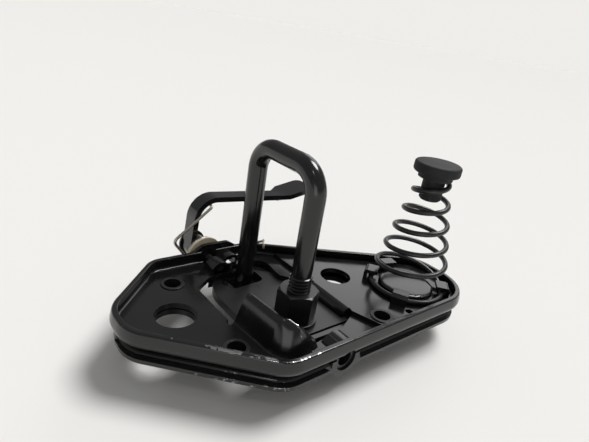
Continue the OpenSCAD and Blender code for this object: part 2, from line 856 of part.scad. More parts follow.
module lever_bush() {
    from_x = lever_to_x + side_gap;
    to_x = ear_x - side_gap;
    color(nylon_beige) place()
    difference() {
        union() {
            rod_x(from_x, to_x - from_x, pin_y, pin_z, bush_d / 2);
            rod_x(to_x - bush_flange_t, bush_flange_t, pin_y, pin_z, bush_flange_d / 2);
        }
        rod_x(from_x - 1, to_x - from_x + 2, pin_y, pin_z, pin_r + running_fit);
    }
}

// Points of a rounded turn in a wire
function wire_turn(before, at, after, size, steps) =
    [for (k = [0:steps])
        let (
            t = k / steps,
            from = at - size * unit(at - before),
            to = at + size * unit(after - at)
        )
        (1 - t) * (1 - t) * from + 2 * t * (1 - t) * at + t * t * to];

// Torsion spring: a hook over the rim, a coil round the bush, then a leg that turns back under the arm
function coil_point(s) =
    let (a = -90 - 360 * coil_turns * s)
    [coil_from_x + (coil_to_x - coil_from_x) * s, pin_y + coil_r * cos(a), pin_z + coil_r * sin(a)];
module lever_spring() {
    r = torsion_wire / 2;
    along = unit([back_left_x - left_x, back_y - shoulder_y]);
    outward = [-along[1], along[0]];
    hook_at = [left_x, shoulder_y] + hook_from_shoulder * along;
    over_lip = lip_z + r + side_gap;
    nest_r = arm_bend_r - r - side_gap / 2;
    nest_angle = 116;
    nest_y = arm_bend_y + nest_r * cos(nest_angle);
    nest_z = arm_bend_z + nest_r * sin(nest_angle);
    nest = [
        coil_to_x,
        pin_y + nest_y * cos(lever_lean) + nest_z * sin(lever_lean),
        pin_z - nest_y * sin(lever_lean) + nest_z * cos(lever_lean)
    ];
    leave = -90 - 360 * coil_turns;
    leg_end = coil_point(1) + leg_l * [0, sin(leave), -cos(leave)];
    under_arm = nest - [strip_w / 2, 0, 0];
    coil_steps = 24;
    inside = hook_at - (top_t + r + side_gap) * outward;
    outside = hook_at + (r + side_gap) * outward;
    path = concat(
        [
            [inside[0], inside[1], over_lip - 2],
            [inside[0], inside[1], over_lip - 0.5],
            [inside[0] + 0.4 * outward[0], inside[1] + 0.4 * outward[1], over_lip],
            [outside[0], outside[1], over_lip],
            [outside[0] + 0.8 * outward[0], outside[1] + 0.8 * outward[1], over_lip - 0.8],
            [ear_x - r - 2 * side_gap, shoulder_y, over_lip - 3.4],
            [coil_from_x, pin_y + coil_r + 4, pin_z - coil_r + 2.4],
            [coil_from_x, pin_y + coil_r - 1, pin_z - coil_r + 0.6]
        ],
        [for (i = [0:coil_steps]) coil_point(i / coil_steps)],
        wire_turn(coil_point(1), leg_end, nest, 2.2, 5),
        wire_turn(leg_end, nest, under_arm, 1.2, 4),
        [under_arm]
    );
    color(wire_silver) place() wire(path, r, 6, [1, 0.2, 0.1]);
}

module lever_washer() {
    color(black_steel) place()
    difference() {
        rod_x(lever_washer_x, lever_washer_t, pin_y, pin_z, lever_washer_r);
        rod_x(lever_washer_x - 1, lever_washer_t + 2, pin_y, pin_z, pin_r + running_fit);
    }
}

// Semi-tubular rivet: a rolled lip on the upper floor round a blind cup, and a flat head below
module tube_rivet(at, seat_z) {
    color(black_steel) place()
    translate([at[0], at[1], 0])
        rotate_extrude()
            difference() {
                union() {
                    translate([0, bottom_under - rivet_head_t])
                        square([rivet_shank_d / 2, seat_z - bottom_under + 2 * rivet_head_t]);
                    translate([0, bottom_under - rivet_head_t]) square([rivet_head_d / 2, rivet_head_t]);
                    translate([0, seat_z]) square([rivet_head_d / 2 - rivet_head_t / 2, rivet_head_t]);
                    translate([rivet_head_d / 2 - rivet_head_t / 2, seat_z + rivet_head_t / 2])
                        circle(rivet_head_t / 2);
                }
                translate([0, seat_z + rivet_head_t - rivet_cup]) square([rivet_bore_d / 2, rivet_cup + 1]);
            }
}

module rivet_left() {
    tube_rivet(rivet_left_at, floor_z);
}

module rivet_front() {
    tube_rivet(rivet_front_at, floor_z);
}

module rivet_right() {
    tube_rivet(rivet_right_at, platform_z);
}

module guide_sleeve() {
    color(black_steel) place()
    difference() {
        rod_x(channel_start_x, sleeve_l, channel_y, channel_z, sleeve_d / 2);
        rod_x(channel_start_x - 1, sleeve_l + 2, channel_y, channel_z, sleeve_bore_d / 2);
        translate([channel_start_x - 1, channel_y - sleeve_slit / 2, channel_z])
            cube([sleeve_l + 2, sleeve_slit, sleeve_d]);
    }
}

top_plate();
bottom_plate();
carrier_plate();
striker_loop();
lock_nut();
lock_washer();
lower_nut();
lower_washer();
pop_spring();
spring_cap();
safety_lever();
lever_pin();
lever_bush();
lever_spring();
lever_washer();
rivet_left();
rivet_front();
rivet_right();
guide_sleeve();
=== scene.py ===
"""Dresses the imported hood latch: painted plates, striker loop, springs, safety lever and a plain studio."""

import logging
import math
from dataclasses import dataclass
from enum import Enum
from typing import Callable, Iterable, Sequence

import bmesh
import bpy
from mathutils import Matrix, Vector, geometry


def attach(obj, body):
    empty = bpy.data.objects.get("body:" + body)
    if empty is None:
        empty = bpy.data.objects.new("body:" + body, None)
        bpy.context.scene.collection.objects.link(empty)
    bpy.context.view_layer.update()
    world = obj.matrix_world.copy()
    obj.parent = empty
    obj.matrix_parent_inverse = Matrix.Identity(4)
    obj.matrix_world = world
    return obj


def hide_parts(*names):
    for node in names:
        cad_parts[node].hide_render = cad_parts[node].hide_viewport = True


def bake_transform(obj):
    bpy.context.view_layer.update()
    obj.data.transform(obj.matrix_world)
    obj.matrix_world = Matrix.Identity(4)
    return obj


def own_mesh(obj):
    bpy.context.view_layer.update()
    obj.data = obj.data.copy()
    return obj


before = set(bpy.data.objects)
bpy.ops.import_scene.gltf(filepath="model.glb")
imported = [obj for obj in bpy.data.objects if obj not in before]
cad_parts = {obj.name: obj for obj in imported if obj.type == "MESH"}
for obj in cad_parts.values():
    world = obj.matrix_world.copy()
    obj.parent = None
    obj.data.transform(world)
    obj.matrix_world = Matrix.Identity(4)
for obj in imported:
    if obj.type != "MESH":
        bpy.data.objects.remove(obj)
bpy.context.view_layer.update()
LOG = logging.getLogger("hood_latch")

Socket = bpy.types.NodeSocket
Color = tuple[float, float, float]
Point = tuple[float, float, float]

MM = 0.001
# The source's own places are measured from the loop; the frame's origin is the front mounting hole.
LOOP_ORIGIN = Vector((0.4, 37.3, -5.0))
# The corner of the upper rim where the paint is rubbed most, in millimetres.
WORN_CORNER = (33.0, -28.0, 12.5)
# The pop-up spring's axis and its seat's height on the upper plate, in millimetres.
SPRING_AT = (22.2, 54.0)
SPRING_SEAT = 10.0
# In metres: the gap between points that are joined, the thinnest edge kept, and a cutting plane's reach.
JOIN = 2e-6
THIN = 1e-6
CUT = 1e-7
# In degrees: faces flatter than the first are joined, and edges sharper than the second are rounded.
FLAT_DEG = 0.4
SHARP_DEG = 40.0
BEVEL_SEGMENTS = 2
# In degrees: how far an edge bends where wear starts, and over what further bend it becomes full.
WORN_FROM_DEG = 18.0
WORN_OVER_DEG = 12.0
# Name, scale per metre and detail of the two noises in a coat's grain.
GRAIN = (("Fine", 900.0, 2.0), ("Broad", 60.0, 5.0))
# Colour sockets of a Mix node: its two inputs and its output.
MIX_A = 6
MIX_B = 7
MIX_OUT = 2
# The bodies that move by themselves.
ROOT = "plates"
LEVER = "lever"
CAP = "cap"


def at(x: float, y: float, z: float) -> Vector:
    """A point given in millimetres from the loop's centre line, in the row frame in metres."""
    return (Vector((x, y, z)) + LOOP_ORIGIN) * MM


class Slot(Enum):
    """The record's material slots."""

    PAINT = "black_paint"
    STEEL = "black_steel"
    RUBBER = "cap_rubber"
    NYLON = "nylon_beige"
    WIRE = "wire_silver"


# Shader nodes and the groups that the finishes share


@dataclass
class NodeBuilder:
    """Adds nodes and links to one shader tree.

    Args:
        tree: a material's tree or a group.
    """

    tree: bpy.types.NodeTree

    def socket(self, name: str, kind: str, is_input: bool, default: float | None = None) -> None:
        """Adds a socket to a group.

        Args:
            name: the socket's name.
            kind: its type, such as Float or Vector.
            is_input: True for an input.
            default: its default value, if any.
        """
        made = self.tree.interface.new_socket(
            name=name, in_out="INPUT" if is_input else "OUTPUT", socket_type="NodeSocket" + kind
        )
        if default is not None:
            made.default_value = default

    def node(self, kind: str, **values: object) -> bpy.types.Node:
        """Adds a node and sets its properties.

        Args:
            kind: the node's type name after ShaderNode, or a full type name.
            values: properties to set on it.

        Returns:
            The new node.
        """
        made = self.tree.nodes.new(kind if kind.startswith("Node") else "ShaderNode" + kind)
        for key, value in values.items():
            setattr(made, key, value)
        return made

    def link(self, out: Socket, into: Socket) -> None:
        """Links two sockets."""
        self.tree.links.new(out, into)

    def combine(self, operation: str, first: Socket, *others: Socket) -> Socket:
        """Runs values through Math nodes, one after the other.

        Args:
            operation: the nodes' operation.
            first: the first value.
            others: the values that are taken with it in turn.

        Returns:
            The last node's output.
        """
        for other in others:
            made = self.node("Math", operation=operation)
            self.link(first, made.inputs[0])
            self.link(other, made.inputs[1])
            first = made.outputs[0]
        return first

    def noise(self, place: Socket, scale: Socket, **settings: float) -> Socket:
        """Adds a noise texture.

        Args:
            place: the coordinates.
            scale: the noise's scale.
            settings: values of its other inputs.

        Returns:
            The noise's value.
        """
        made = self.node("TexNoise")
        for name, value in settings.items():
            made.inputs[name].default_value = value
        self.link(place, made.inputs["Vector"])
        self.link(scale, made.inputs["Scale"])
        return made.outputs["Fac"]

    def remap(
        self, value: Socket, source: tuple[float, float], goal: tuple[float, float], **values: object
    ) -> Socket:
        """Maps a value from one range to another.

        Args:
            value: the value.
            source: the range it comes from.
            goal: the range it goes to.
            values: properties to set on the node.

        Returns:
            The mapped value.
        """
        made = self.node("MapRange", **values)
        for name, number in zip(("From Min", "From Max", "To Min", "To Max"), (*source, *goal)):
            made.inputs[name].default_value = number
        self.link(value, made.inputs["Value"])
        return made.outputs["Result"]

    def color_mix(self, factor: Socket) -> bpy.types.Node:
        """Adds a node that mixes two colours.

        Args:
            factor: the share of the second colour.

        Returns:
            The new node.
        """
        made = self.node("Mix", data_type="RGBA")
        self.link(factor, made.inputs["Factor"])
        return made

    def shader_mix(self, factor: Socket, first: Socket, second: Socket) -> Socket:
        """Mixes two shaders.

        Args:
            factor: the share of the second shader.
            first: the first shader.
            second: the second shader.

        Returns:
            The mixed shader.
        """
        made = self.node("MixShader")
        self.link(factor, made.inputs["Fac"])
        self.link(first, made.inputs[1])
        self.link(second, made.inputs[2])
        return made.outputs["Shader"]


def grain_group() -> bpy.types.NodeTree:
    """Fine and broad noise for a coated surface.

    Returns:
        A group with inputs Fine Scale and Broad Scale, and outputs Fine and Broad.
    """
    group = NodeBuilder(bpy.data.node_groups.new("coat_grain", "ShaderNodeTree"))
    for name, scale, _ in GRAIN:
        group.socket(f"{name} Scale", "Float", True, scale)
        group.socket(name, "Float", False)
    inputs = group.node("NodeGroupInput").outputs
    outputs = group.node("NodeGroupOutput").inputs
    place = group.node("TexCoord").outputs["Object"]
    for name, _, detail in GRAIN:
        group.link(group.noise(place, inputs[f"{name} Scale"], Detail=detail), outputs[name])
    return group.tree


@dataclass(frozen=True)
class EdgeWear:
    """How a coat is chipped and rubbed off its edges, most round one place.

    Args:
        chip_scale: scale of the chips, per metre.
        chip_detail: detail of the chips' noise.
        chip_roughness: roughness of the chips' noise.
        patch_scale: scale of the worn patches, per metre.
        patch_noise: noise at which a patch starts and is full.
        patch_weight: wear outside and inside a patch.
        far_share: what is left of the wear far from its centre.
        cut: sum of wear and chips at which bare metal starts to show, and shows fully.
    """

    chip_scale: float = 700.0
    chip_detail: float = 4.0
    chip_roughness: float = 0.65
    patch_scale: float = 180.0
    patch_noise: tuple[float, float] = (0.35, 0.65)
    patch_weight: tuple[float, float] = (0.6, 1.1)
    far_share: float = 0.1
    cut: tuple[float, float] = (0.92, 1.0)

    def group(self) -> bpy.types.NodeTree:
        """Builds the shared shader group.

        Returns:
            A group with inputs Chip Scale, Patch Scale, Reach, Centre and Radius, and an output Mask that is 1
            where the metal is bare.
        """
        group = NodeBuilder(bpy.data.node_groups.new("edge_wear", "ShaderNodeTree"))
        group.socket("Chip Scale", "Float", True, self.chip_scale)
        group.socket("Patch Scale", "Float", True, self.patch_scale)
        group.socket("Reach", "Float", True)
        group.socket("Centre", "Vector", True)
        group.socket("Radius", "Float", True)
        group.socket("Mask", "Float", False)
        inputs = group.node("NodeGroupInput").outputs
        place = group.node("TexCoord").outputs["Object"]
        worn = group.node("Attribute", attribute_name="wear").outputs["Fac"]
        away = group.node("VectorMath", operation="DISTANCE")
        group.link(place, away.inputs[0])
        group.link(inputs["Centre"], away.inputs[1])
        near = group.remap(away.outputs["Value"], (0.0, 1.0), (1.0, self.far_share))
        group.link(inputs["Radius"], near.node.inputs["From Max"])
        patches = group.remap(group.noise(place, inputs["Patch Scale"]), self.patch_noise, self.patch_weight)
        rubbed = group.combine("MULTIPLY", worn, near, patches, inputs["Reach"])
        chips = group.noise(
            place, inputs["Chip Scale"], Detail=self.chip_detail, Roughness=self.chip_roughness
        )
        total = group.combine("ADD", rubbed, chips)
        mask = group.remap(total, self.cut, (0.0, 1.0), interpolation_type="SMOOTHSTEP")
        group.link(mask, group.node("NodeGroupOutput").inputs["Mask"])
        return group.tree


@dataclass(frozen=True)
class Finish:
    """One surface finish.

    Args:
        slot: the record's material slot it stands for.
        color: linear base colour.
        rough: lowest and highest roughness of the grain.
        metallic: 1 for bare metal.
        specular: specular level.
        fine_scale: scale of the fine grain, per metre.
        bump: height of the fine grain, in metres.
        bump_strength: strength of the fine grain.
        broad_noise: noise at which the broad grain starts and is full.
        shades: the base colour's darkest and lightest share.
        worn_color: linear colour where the coat is worn through.
        wear_reach: how far the wear attribute cuts through, 0 for none.
        wear_radius: how far from the worn corner the wear runs out, in metres.
    """

    slot: Slot
    color: Color
    rough: tuple[float, float]
    metallic: float = 0.0
    specular: float = 0.5
    fine_scale: float = 900.0
    bump: float = 0.00002
    bump_strength: float = 0.6
    broad_noise: tuple[float, float] = (0.3, 0.7)
    shades: tuple[float, float] = (0.8, 1.2)
    worn_color: Color = (0.4, 0.4, 0.4)
    wear_reach: float = 0.0
    wear_radius: float = 0.065

    def build(self, grain: bpy.types.NodeTree, wear: bpy.types.NodeTree) -> bpy.types.Material:
        """Makes the material.

        Args:
            grain: the shared grain group.
            wear: the shared wear group.

        Returns:
            The new material.
        """
        material = bpy.data.materials.new(self.slot.value)
        material.use_nodes = True
        nodes = NodeBuilder(material.node_tree)
        shader = nodes.tree.nodes["Principled BSDF"].inputs
        shader["Specular IOR Level"].default_value = self.specular
        shader["Metallic"].default_value = self.metallic
        coat = nodes.node("Group", node_tree=grain)
        coat.inputs["Fine Scale"].default_value = self.fine_scale
        nodes.link(nodes.remap(coat.outputs["Broad"], self.broad_noise, self.rough), shader["Roughness"])
        bump = nodes.node("Bump")
        bump.inputs["Strength"].default_value = self.bump_strength
        bump.inputs["Distance"].default_value = self.bump
        nodes.link(coat.outputs["Fine"], bump.inputs["Height"])
        nodes.link(bump.outputs["Normal"], shader["Normal"])
        shade = nodes.color_mix(coat.outputs["Broad"])
        for index, share in zip((MIX_A, MIX_B), self.shades):
            shade.inputs[index].default_value = (*(share * part for part in self.color), 1.0)
        color = shade.outputs[MIX_OUT]
        if self.wear_reach > 0:
            chips = nodes.node("Group", node_tree=wear)
            chips.inputs["Reach"].default_value = self.wear_reach
            chips.inputs["Centre"].default_value = at(*WORN_CORNER)
            chips.inputs["Radius"].default_value = self.wear_radius
            bare = nodes.color_mix(chips.outputs["Mask"])
            bare.inputs[MIX_B].default_value = (*self.worn_color, 1.0)
            nodes.link(color, bare.inputs[MIX_A])
            nodes.link(chips.outputs["Mask"], shader["Metallic"])
            color = bare.outputs[MIX_OUT]
        nodes.link(color, shader["Base Color"])
        return material


FINISHES = (
    Finish(
        Slot.PAINT, (0.006, 0.006, 0.006), rough=(0.13, 0.22), specular=0.55, bump=0.000012, wear_reach=0.55
    ),
    Finish(Slot.STEEL, (0.01, 0.01, 0.01), rough=(0.25, 0.38), wear_reach=0.42),
    Finish(
        Slot.RUBBER, (0.012, 0.012, 0.0125), rough=(0.6, 0.75), specular=0.35, fine_scale=1500.0, bump=0.00004
    ),
    Finish(Slot.NYLON, (0.5, 0.44, 0.33), rough=(0.35, 0.5)),
    Finish(Slot.WIRE, (0.45, 0.42, 0.36), rough=(0.25, 0.4), metallic=0.9, bump=0.00001),
)


class Palette:
    """The finished materials by slot."""

    def __init__(self) -> None:
        """Builds the shared groups once and every finish from them."""
        grain, wear = grain_group(), EdgeWear().group()
        self.by_slot = {finish.slot: finish.build(grain, wear) for finish in FINISHES}

    def dress(self, obj: bpy.types.Object, slot: Slot) -> None:
        """Gives a piece its only material.

        Args:
            obj: the piece.
            slot: the material slot.
        """
        obj.data.materials.clear()
        obj.data.materials.append(self.by_slot[slot])


# Mesh helpers


def linked(name: str, data: bpy.types.ID) -> bpy.types.Object:
    """Makes an object at the origin and links it to the scene.

    Args:
        name: the object's name.
        data: its mesh, curve, camera or light.

    Returns:
        The new object.
    """
    obj = bpy.data.objects.new(name, data)
    bpy.context.scene.collection.objects.link(obj)
    return obj


def mark_wear(bm: bmesh.types.BMesh, weight: float, worn_above: float = -math.inf) -> None:
    """Stores the wear attribute on a mesh, high on outward edges.

    Args:
        bm: the mesh.
        weight: how worn its sharpest edges are, from 0 to 1.
        worn_above: the height from which its edges are worn, in millimetres from the loop's centre line.
    """
    layer = bm.verts.layers.float.new("wear")
    start, span = math.radians(WORN_FROM_DEG), math.radians(WORN_OVER_DEG)
    lowest = at(0, 0, worn_above).z
    for vert in bm.verts:
        bends = [edge.calc_face_angle_signed(0.0) for edge in vert.link_edges if edge.is_manifold]
        sharp = min(1.0, max(0.0, max(bends, default=0.0) - start) / span)
        vert[layer] = sharp * weight if vert.co.z > lowest else 0.0


def finished(bm: bmesh.types.BMesh, name: str, smooth_deg: float = 35.0) -> bpy.types.Object:
    """Turns a bmesh into an object at the origin, smooth except at sharp edges.

    Args:
        bm: the mesh, which is freed.
        name: the piece's name.
        smooth_deg: edges sharper than this stay sharp.

    Returns:
        The new object, linked to the scene.
    """
    limit = math.radians(smooth_deg)
    for face in bm.faces:
        face.smooth = True
    for edge in bm.edges:
        edge.smooth = edge.calc_face_angle(0.0) < limit
    mesh = bpy.data.meshes.new(name)
    bm.to_mesh(mesh)
    bm.free()
    return linked(name, mesh)


def flatten_faces(obj: bpy.types.Object, weight: int = 100) -> None:
    """Keeps large flat faces flat beside rounded edges, by weighting the normals by face area.

    Args:
        obj: the piece.
        weight: how much a large face counts, up to 100.
    """
    weighted = obj.modifiers.new("flat faces", "WEIGHTED_NORMAL")
    weighted.mode = "FACE_AREA"
    weighted.weight = weight
    weighted.keep_sharp = True


def merged_copy(node: str) -> bmesh.types.BMesh:
    """A copy of a CAD node's mesh with its loose triangles joined.

    Args:
        node: the CAD node's name.

    Returns:
        The joined mesh.
    """
    bm = bmesh.new()
    bm.from_mesh(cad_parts[node].data)
    bmesh.ops.remove_doubles(bm, verts=bm.verts, dist=JOIN)
    bmesh.ops.dissolve_degenerate(bm, edges=bm.edges, dist=THIN)
    bmesh.ops.dissolve_limit(
        bm, angle_limit=math.radians(FLAT_DEG), use_dissolve_boundaries=False, verts=bm.verts, edges=bm.edges
    )
    return bm


def bevel_sharp(bm: bmesh.types.BMesh, width: float, limit_deg: float, join: float) -> None:
    """Rounds every edge sharper than a limit.

    Args:
        bm: the mesh.
        width: bevel width in metres.
        limit_deg: edges flatter than this are left.
        join: points closer than this are joined afterwards, in metres.
    """
    limit = math.radians(limit_deg)
    edges = [edge for edge in bm.edges if edge.is_manifold and edge.calc_face_angle() > limit]
    bmesh.ops.bevel(
        bm, geom=edges, offset=width, offset_type="OFFSET", affect="EDGES", segments=BEVEL_SEGMENTS,
        profile=0.5, material=-1, clamp_overlap=True,
    )
    bmesh.ops.remove_doubles(bm, verts=bm.verts, dist=join)
    bmesh.ops.dissolve_degenerate(bm, edges=bm.edges, dist=join)


def cut_through(
    bm: bmesh.types.BMesh, place: Vector, normal: Point, clear_outer: bool = False
) -> list[bmesh.types.BMEdge]:
    """Cuts a whole mesh along a plane.

    Args:
        bm: the mesh.
        place: a point of the plane.
        normal: the plane's normal.
        clear_outer: True to remove what lies on the normal's side.

    Returns:
        The edges along the cut.
    """
    cut = bmesh.ops.bisect_plane(
        bm, geom=bm.verts[:] + bm.edges[:] + bm.faces[:], dist=CUT, plane_co=place, plane_no=normal,
        clear_outer=clear_outer,
    )
    return [item for item in cut["geom_cut"] if isinstance(item, bmesh.types.BMEdge)]


def tube_mesh(points: Iterable[Vector], radius: float, resolution: int) -> bpy.types.Mesh:
    """A round closed tube along a path.

    Args:
        points: the path in the row frame, in metres.
        radius: the tube's radius.
        resolution: the curve's bevel resolution.

    Returns:
        The tube's mesh.
    """
    path = list(points)
    curve = bpy.data.curves.new("path", "CURVE")
    curve.dimensions = "3D"
    curve.bevel_depth = radius
    curve.bevel_resolution = resolution
    curve.use_fill_caps = True
    spline = curve.splines.new("POLY")
    spline.points.add(len(path) - 1)
    for point, place in zip(spline.points, path):
        point.co = (*place, 1.0)
    holder = linked("path", curve)
    bpy.context.view_layer.update()
    mesh = bpy.data.meshes.new_from_object(holder.evaluated_get(bpy.context.evaluated_depsgraph_get()))
    bpy.data.objects.remove(holder)
    bpy.data.curves.remove(curve)
    return mesh


def rounded_path(corners: Sequence[Vector], radius: float, steps: int) -> list[Vector]:
    """A polyline whose inner corners are turned into arcs.

    Args:
        corners: the corner points.
        radius: the bends' radius.
        steps: steps per bend.

    Returns:
        The rounded polyline.
    """
    path = [corners[0]]
    for before, here, after in zip(corners, corners[1:], corners[2:]):
        into, away = (here - before).normalized(), (after - here).normalized()
        turn = into.angle(away)
        axis = into.cross(away).normalized()
        start = here - into * radius * math.tan(turn / 2)
        centre = start + axis.cross(into) * radius
        for step in range(steps + 1):
            path.append(centre + Matrix.Rotation(turn * step / steps, 3, axis) @ (start - centre))
    return path + [corners[-1]]


# The object's sub-assemblies, with sizes in millimetres from the loop's centre line


@dataclass
class SubAssembly:
    """A group of pieces that share a palette.

    Args:
        palette: the finished materials.
    """

    palette: Palette

    def dress(self, obj: bpy.types.Object, slot: Slot, node: str) -> bpy.types.Object:
        """Gives a new piece its material and lets it stand for a CAD node.

        Args:
            obj: the piece.
            slot: its material slot.
            node: the CAD node it replaces.

        Returns:
            The same piece.
        """
        self.palette.dress(obj, slot)
        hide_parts(node)
        LOG.info("%s stands for %s", obj.name, node)
        return obj

    def rounded(
        self, node: str, slot: Slot, body: str, width: float, wear: float, limit_deg: float = SHARP_DEG,
        worn_above: float = -math.inf, join: float = JOIN,
        reshape: Callable[[bmesh.types.BMesh], None] | None = None,
    ) -> None:
        """Makes a rounded copy of a CAD node, which stands for it and rides on a body.

        Args:
            node: the CAD node.
            slot: its material slot.
            body: the body it moves with.
            width: edge rounding, in millimetres.
            wear: how worn its edges are.
            limit_deg: edges sharper than this are rounded.
            worn_above: the height from which its edges are worn.
            join: points closer than this are joined, in metres.
            reshape: what changes the copy before it is rounded, if anything.
        """
        bm = merged_copy(node)
        if reshape is not None:
            reshape(bm)
        bevel_sharp(bm, width * MM, limit_deg, join)
        mark_wear(bm, wear, worn_above)
        piece = self.dress(finished(bm, node + "_skin"), slot, node)
        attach(piece, body)
        flatten_faces(piece)


@dataclass
class PlateStack(SubAssembly):
    """The two stamped plates, what is clamped between them, and their rivets.

    The lower plate's wall is set in above its foot, which leaves a lip turned out under a deep gap.
    The round boss inside the spring's foot is made wider and lower.
    """

    # Edge rounding, and how worn the edges are
    rim_edge: float = 0.35
    rivet_edge: float = 0.15
    upper_wear: float = 1.0
    lower_wear: float = 0.8
    carrier_wear: float = 0.5
    rivet_wear: float = 0.7
    # The upper plate is worn from this height, and its short edges are joined, in metres
    rim_worn: float = 12.0
    upper_join: float = 1.5e-5
    # What is boss, from the spring's axis, and its change of width and height
    boss_reach: float = 9.1
    boss_wide: float = 1.24
    boss_low: float = 0.46
    # The lower plate's lip, and its wall with the share of the rounding that it keeps
    lip_top: float = 3.0
    wall_foot: float = 3.39
    wall_set: float = 1.5
    wall_t: float = 2.0
    round_keep: float = 0.6
    floor_top: float = 5.9
    rim_zone: float = 4.0
    # The channel at the lower plate's right edge, which keeps its form
    channel_x: float = 25.0
    channel_y: float = 3.0
    channel_half: float = 7.0
    channel_fade: float = 1.5

    def cut_rings(self, bm: bmesh.types.BMesh) -> None:
        """Adds the rings of vertices that the lip and the channel's ends need.

        Args:
            bm: the lower plate's mesh.
        """
        for height in (self.lip_top, self.wall_foot):
            cut_through(bm, at(0, 0, height), (0, 0, 1))
        left_end = at(self.channel_x, 0, 0).x
        for side in (-1, 1):
            for reach in (self.channel_half, self.channel_half + self.channel_fade):
                right = [face for face in bm.faces if face.calc_center_median().x > left_end]
                edges = {edge for face in right for edge in face.edges}
                verts = {vert for face in right for vert in face.verts}
                bmesh.ops.bisect_plane(
                    bm, geom=[*verts, *edges, *right], dist=CUT,
                    plane_co=at(0, self.channel_y + side * reach, 0), plane_no=(0, 1, 0),
                )

    def set_wall_in(self, bm: bmesh.types.BMesh) -> None:
        """Sets the lower plate's wall in above its foot, clear of the channel at its right edge.

        Args:
            bm: the lower plate's mesh.
        """
        self.cut_rings(bm)
        bm.normal_update()
        flat = [vert.co.to_2d() for vert in bm.verts]
        hull = [flat[index] for index in geometry.convex_hull_2d(flat)]
        middle = sum(hull, Vector((0.0, 0.0))) / len(hull)
        sides = []
        for start, end in zip(hull, hull[1:] + hull[:1]):
            inward = Vector((start.y - end.y, end.x - start.x)).normalized()
            sides.append((start, inward if inward.dot(middle - start) > 0 else -inward))
        foot, top = at(0, 0, self.wall_foot).z - THIN, at(0, 0, self.floor_top).z
        channel = at(self.channel_x, self.channel_y, 0)
        for vert in bm.verts:
            place = vert.co.to_2d()
            depth, inward = min(
                (((place - start).dot(normal), normal) for start, normal in sides), key=lambda pair: pair[0]
            )
            if vert.co.z < foot or depth > self.rim_zone * MM:
                continue
            goal = (self.wall_set + self.wall_t) * MM
            if vert.co.z > top or vert.normal.to_2d().dot(inward) < 0:
                goal = self.wall_set * MM + depth * self.round_keep
            shift = max(0.0, goal - depth)
            if vert.co.x > channel.x:
                off = abs(vert.co.y - channel.y) - self.channel_half * MM
                shift *= min(1.0, max(0.0, off / (self.channel_fade * MM)))
            vert.co += (inward * shift).to_3d()

    def press_boss(self, bm: bmesh.types.BMesh) -> None:
        """Makes the boss inside the spring's foot wider and lower.

        Args:
            bm: the upper plate's mesh.
        """
        foot = at(*SPRING_AT, SPRING_SEAT)
        stretch = Vector((self.boss_wide, self.boss_wide, self.boss_low))
        for vert in bm.verts:
            off = vert.co - foot
            if off.z > -THIN and off.to_2d().length < self.boss_reach * MM:
                vert.co = foot + off * stretch

    def build(self) -> None:
        """Makes every piece of the stack."""
        self.rounded(
            "top_plate", Slot.PAINT, ROOT, self.rim_edge, self.upper_wear, worn_above=self.rim_worn,
            join=self.upper_join, reshape=self.press_boss,
        )
        self.rounded(
            "bottom_plate", Slot.PAINT, ROOT, self.rim_edge, self.lower_wear, reshape=self.set_wall_in
        )
        self.rounded("carrier_plate", Slot.STEEL, ROOT, self.rim_edge, self.carrier_wear)
        for node in ("rivet_left", "rivet_front", "rivet_right", "guide_sleeve"):
            self.rounded(node, Slot.STEEL, ROOT, self.rivet_edge, self.rivet_wear)


